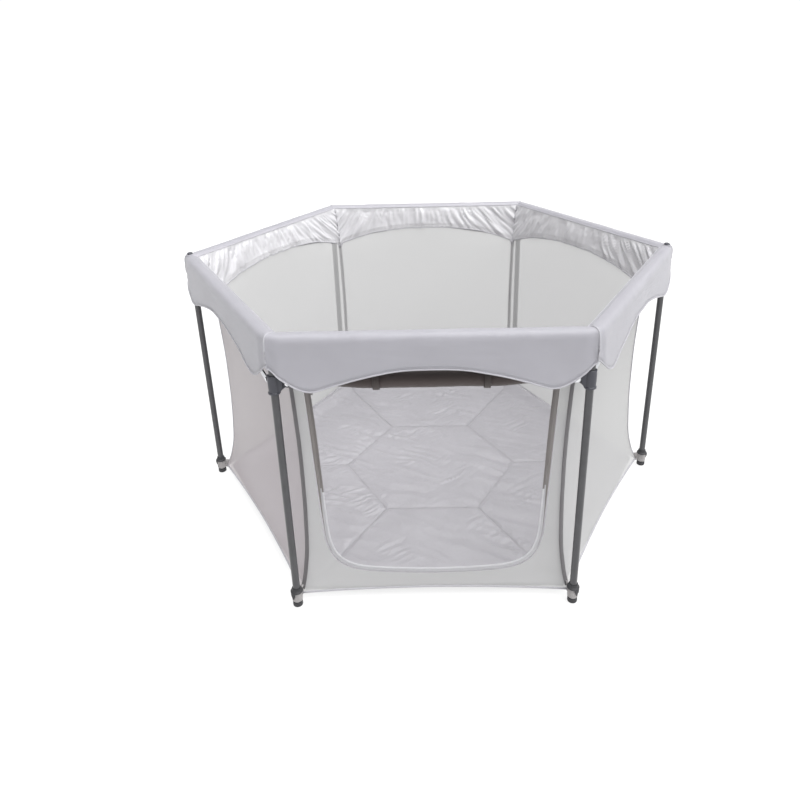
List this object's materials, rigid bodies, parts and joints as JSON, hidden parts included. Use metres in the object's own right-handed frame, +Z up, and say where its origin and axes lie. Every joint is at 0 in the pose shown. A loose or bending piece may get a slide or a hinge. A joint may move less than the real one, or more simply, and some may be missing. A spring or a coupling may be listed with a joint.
{
  "type": "folding hexagonal playpen",
  "caption": "Folding hexagonal playpen: steel legs joined by hidden scissor bars, padded fabric rim with skirts, mesh walls, quilted floor mat and a zip door rolled up under the rim.",
  "frame": {"origin": "the middle of the pen's footprint on the ground, at the bottom of the foot tips", "axes": "+Z up, -Y towards the side with the door, +X towards the corner leg on the door side's right; two opposite corner legs lie on the X axis"},
  "size_m": [1.2866, 1.1186, 0.67],
  "materials": {
    "leg_paint": "satin",
    "bar_steel": "satin",
    "bracket_plastic": "matte",
    "foot_rubber": "matte",
    "rim_satin": "satin",
    "wall_mesh": "matte",
    "mat_satin": "satin",
    "zip_white": "matte",
    "door_mesh": "matte",
    "zip_metal": "satin"
  },
  "bodies": {
    "leg_1_body": {"leg_1": "leg_paint", "foot_1": "foot_rubber", "hub_1": "bracket_plastic", "rim_1": "rim_satin", "wall_1": "wall_mesh", "zip_tape": "zip_white", "door_roll": "door_mesh", "roll_ties": "rim_satin", "zip_slider": "zip_metal"},
    "slide_1": {"slider_1": "bracket_plastic"},
    "arm_a_1": {"bar_a_1": "bar_steel"},
    "arm_b_1": {"bar_b_1": "bar_steel"},
    "mat_1": {"floor_1": "mat_satin"},
    "leg_2_body": {"leg_2": "leg_paint", "foot_2": "foot_rubber", "hub_2": "bracket_plastic", "rim_2": "rim_satin", "wall_2": "wall_mesh"},
    "slide_2": {"slider_2": "bracket_plastic"},
    "arm_a_2": {"bar_a_2": "bar_steel"},
    "arm_b_2": {"bar_b_2": "bar_steel"},
    "mat_2": {"floor_2": "mat_satin"},
    "leg_3_body": {"leg_3": "leg_paint", "foot_3": "foot_rubber", "hub_3": "bracket_plastic", "rim_3": "rim_satin", "wall_3": "wall_mesh"},
    "slide_3": {"slider_3": "bracket_plastic"},
    "arm_a_3": {"bar_a_3": "bar_steel"},
    "arm_b_3": {"bar_b_3": "bar_steel"},
    "mat_3": {"floor_3": "mat_satin"},
    "leg_4_body": {"leg_4": "leg_paint", "foot_4": "foot_rubber", "hub_4": "bracket_plastic", "rim_4": "rim_satin", "wall_4": "wall_mesh"},
    "slide_4": {"slider_4": "bracket_plastic"},
    "arm_a_4": {"bar_a_4": "bar_steel"},
    "arm_b_4": {"bar_b_4": "bar_steel"},
    "mat_4": {"floor_4": "mat_satin"},
    "leg_5_body": {"leg_5": "leg_paint", "foot_5": "foot_rubber", "hub_5": "bracket_plastic", "rim_5": "rim_satin", "wall_5": "wall_mesh"},
    "slide_5": {"slider_5": "bracket_plastic"},
    "arm_a_5": {"bar_a_5": "bar_steel"},
    "arm_b_5": {"bar_b_5": "bar_steel"},
    "mat_5": {"floor_5": "mat_satin"},
    "leg_6_body": {"leg_6": "leg_paint", "foot_6": "foot_rubber", "hub_6": "bracket_plastic", "rim_6": "rim_satin", "wall_6": "wall_mesh"},
    "slide_6": {"slider_6": "bracket_plastic"},
    "arm_a_6": {"bar_a_6": "bar_steel"},
    "arm_b_6": {"bar_b_6": "bar_steel"},
    "mat_6": {"floor_6": "mat_satin"},
    "pull": {"zip_pull": "zip_metal"}
  },
  "joints": [
    {"name": "fold", "type": "hinge", "parent": "leg_1_body", "child": "arm_a_1", "pos_m": [-0.283, -0.53694, 0.65], "axis": [0, 1, 0], "range_deg": [0, 74], "deforming": ["rim_1", "wall_1", "floor_1", "rim_2", "wall_2", "floor_2", "rim_3", "wall_3", "floor_3", "rim_4", "wall_4", "floor_4", "rim_5", "wall_5", "floor_5", "rim_6", "wall_6", "floor_6", "zip_tape", "door_roll", "roll_ties"]},
    {"name": "cross_1", "type": "hinge", "parent": "arm_a_1", "child": "arm_b_1", "pos_m": [0, -0.53694, 0.606], "axis": [0, -1, 0], "range_deg": [0, 148]},
    {"name": "top_b_1", "type": "hinge", "parent": "arm_b_1", "child": "leg_2_body", "pos_m": [0.283, -0.53694, 0.65], "axis": [0, 1, 0], "range_deg": [0, 74]},
    {"name": "top_a_2", "type": "hinge", "parent": "leg_2_body", "child": "arm_a_2", "pos_m": [0.3235, -0.51355, 0.65], "axis": [-0.866, 0.5, 0], "range_deg": [0, 74]},
    {"name": "cross_2", "type": "hinge", "parent": "arm_a_2", "child": "arm_b_2", "pos_m": [0.465, -0.26847, 0.606], "axis": [0.866, -0.5, 0], "range_deg": [0, 148]},
    {"name": "top_b_2", "type": "hinge", "parent": "arm_b_2", "child": "leg_3_body", "pos_m": [0.6065, -0.02338, 0.65], "axis": [-0.866, 0.5, 0], "range_deg": [0, 74]},
    {"name": "top_a_3", "type": "hinge", "parent": "leg_3_body", "child": "arm_a_3", "pos_m": [0.6065, 0.02338, 0.65], "axis": [-0.866, -0.5, 0], "range_deg": [0, 74]},
    {"name": "cross_3", "type": "hinge", "parent": "arm_a_3", "child": "arm_b_3", "pos_m": [0.465, 0.26847, 0.606], "axis": [0.866, 0.5, 0], "range_deg": [0, 148]},
    {"name": "top_b_3", "type": "hinge", "parent": "arm_b_3", "child": "leg_4_body", "pos_m": [0.3235, 0.51355, 0.65], "axis": [-0.866, -0.5, 0], "range_deg": [0, 74]},
    {"name": "top_a_4", "type": "hinge", "parent": "leg_4_body", "child": "arm_a_4", "pos_m": [0.283, 0.53694, 0.65], "axis": [0, -1, 0], "range_deg": [0, 74]},
    {"name": "top_b_6", "type": "hinge", "parent": "leg_1_body", "child": "arm_b_6", "pos_m": [-0.3235, -0.51355, 0.65], "axis": [-0.866, -0.5, 0], "range_deg": [0, 74]},
    {"name": "cross_6", "type": "hinge", "parent": "arm_b_6", "child": "arm_a_6", "pos_m": [-0.465, -0.26847, 0.606], "axis": [0.866, 0.5, 0], "range_deg": [0, 148]},
    {"name": "top_a_6", "type": "hinge", "parent": "arm_a_6", "child": "leg_6_body", "pos_m": [-0.6065, -0.02338, 0.65], "axis": [-0.866, -0.5, 0], "range_deg": [0, 74]},
    {"name": "top_b_5", "type": "hinge", "parent": "leg_6_body", "child": "arm_b_5", "pos_m": [-0.6065, 0.02338, 0.65], "axis": [-0.866, 0.5, 0], "range_deg": [0, 74]},
    {"name": "cross_5", "type": "hinge", "parent": "arm_b_5", "child": "arm_a_5", "pos_m": [-0.465, 0.26847, 0.606], "axis": [0.866, -0.5, 0], "range_deg": [0, 148]},
    {"name": "top_a_5", "type": "hinge", "parent": "arm_a_5", "child": "leg_5_body", "pos_m": [-0.3235, 0.51355, 0.65], "axis": [-0.866, 0.5, 0], "range_deg": [0, 74]},
    {"name": "top_b_4", "type": "hinge", "parent": "leg_5_body", "child": "arm_b_4", "pos_m": [-0.283, 0.53694, 0.65], "axis": [0, 1, 0], "range_deg": [0, 74]},
    {"name": "low_a_1", "type": "hinge", "parent": "arm_a_1", "child": "slide_2", "pos_m": [0.283, -0.53694, 0.562], "axis": [0, -1, 0], "range_deg": [0, 74]},
    {"name": "low_a_2", "type": "hinge", "parent": "arm_a_2", "child": "slide_3", "pos_m": [0.6065, -0.02338, 0.562], "axis": [0.866, -0.5, 0], "range_deg": [0, 74]},
    {"name": "low_a_3", "type": "hinge", "parent": "arm_a_3", "child": "slide_4", "pos_m": [0.3235, 0.51355, 0.562], "axis": [0.866, 0.5, 0], "range_deg": [0, 74]},
    {"name": "low_a_4", "type": "hinge", "parent": "arm_a_4", "child": "slide_5", "pos_m": [-0.283, 0.53694, 0.562], "axis": [0, 1, 0], "range_deg": [0, 74]},
    {"name": "low_a_5", "type": "hinge", "parent": "arm_a_5", "child": "slide_6", "pos_m": [-0.6065, 0.02338, 0.562], "axis": [-0.866, 0.5, 0], "range_deg": [0, 74]},
    {"name": "low_a_6", "type": "hinge", "parent": "arm_a_6", "child": "slide_1", "pos_m": [-0.3235, -0.51355, 0.562], "axis": [-0.866, -0.5, 0], "range_deg": [0, 74]},
    {"name": "mat_lift_1", "type": "hinge", "parent": "leg_1_body", "child": "mat_1", "pos_m": [0, -0.49894, 0.026], "axis": [1, 0, 0], "range_deg": [0, 81.9]},
    {"name": "mat_lift_2", "type": "hinge", "parent": "leg_2_body", "child": "mat_2", "pos_m": [0.43209, -0.24947, 0.026], "axis": [0.5, 0.866, 0], "range_deg": [0, 81.9]},
    {"name": "mat_lift_3", "type": "hinge", "parent": "leg_3_body", "child": "mat_3", "pos_m": [0.43209, 0.24947, 0.026], "axis": [-0.5, 0.866, 0], "range_deg": [0, 81.9]},
    {"name": "mat_lift_4", "type": "hinge", "parent": "leg_4_body", "child": "mat_4", "pos_m": [0, 0.49894, 0.026], "axis": [-1, 0, 0], "range_deg": [0, 81.9]},
    {"name": "mat_lift_5", "type": "hinge", "parent": "leg_5_body", "child": "mat_5", "pos_m": [-0.43209, 0.24947, 0.026], "axis": [-0.5, -0.866, 0], "range_deg": [0, 81.9]},
    {"name": "mat_lift_6", "type": "hinge", "parent": "leg_6_body", "child": "mat_6", "pos_m": [-0.43209, -0.24947, 0.026], "axis": [0.5, -0.866, 0], "range_deg": [0, 81.9]},
    {"name": "pull_swing", "type": "hinge", "parent": "leg_1_body", "child": "pull", "pos_m": [-0.2435, -0.50374, 0.541], "axis": [-1, 0, 0], "range_deg": [0, 110]}
  ],
  "couplings": [
    {"joint": "cross_1", "follows": "fold", "ratio": 2},
    {"joint": "top_b_1", "follows": "fold", "ratio": 1},
    {"joint": "top_a_2", "follows": "fold", "ratio": 1},
    {"joint": "cross_2", "follows": "fold", "ratio": 2},
    {"joint": "top_b_2", "follows": "fold", "ratio": 1},
    {"joint": "top_a_3", "follows": "fold", "ratio": 1},
    {"joint": "cross_3", "follows": "fold", "ratio": 2},
    {"joint": "top_b_3", "follows": "fold", "ratio": 1},
    {"joint": "top_a_4", "follows": "fold", "ratio": 1},
    {"joint": "top_b_6", "follows": "fold", "ratio": 1},
    {"joint": "cross_6", "follows": "fold", "ratio": 2},
    {"joint": "top_a_6", "follows": "fold", "ratio": 1},
    {"joint": "top_b_5", "follows": "fold", "ratio": 1},
    {"joint": "cross_5", "follows": "fold", "ratio": 2},
    {"joint": "top_a_5", "follows": "fold", "ratio": 1},
    {"joint": "top_b_4", "follows": "fold", "ratio": 1},
    {"joint": "low_a_1", "follows": "fold", "ratio": 1},
    {"joint": "low_a_2", "follows": "fold", "ratio": 1},
    {"joint": "low_a_3", "follows": "fold", "ratio": 1},
    {"joint": "low_a_4", "follows": "fold", "ratio": 1},
    {"joint": "low_a_5", "follows": "fold", "ratio": 1},
    {"joint": "low_a_6", "follows": "fold", "ratio": 1},
    {"joint": "mat_lift_1", "follows": "fold", "ratio": 1.1064},
    {"joint": "mat_lift_2", "follows": "fold", "ratio": 1.1064},
    {"joint": "mat_lift_3", "follows": "fold", "ratio": 1.1064},
    {"joint": "mat_lift_4", "follows": "fold", "ratio": 1.1064},
    {"joint": "mat_lift_5", "follows": "fold", "ratio": 1.1064},
    {"joint": "mat_lift_6", "follows": "fold", "ratio": 1.1064}
  ]
}
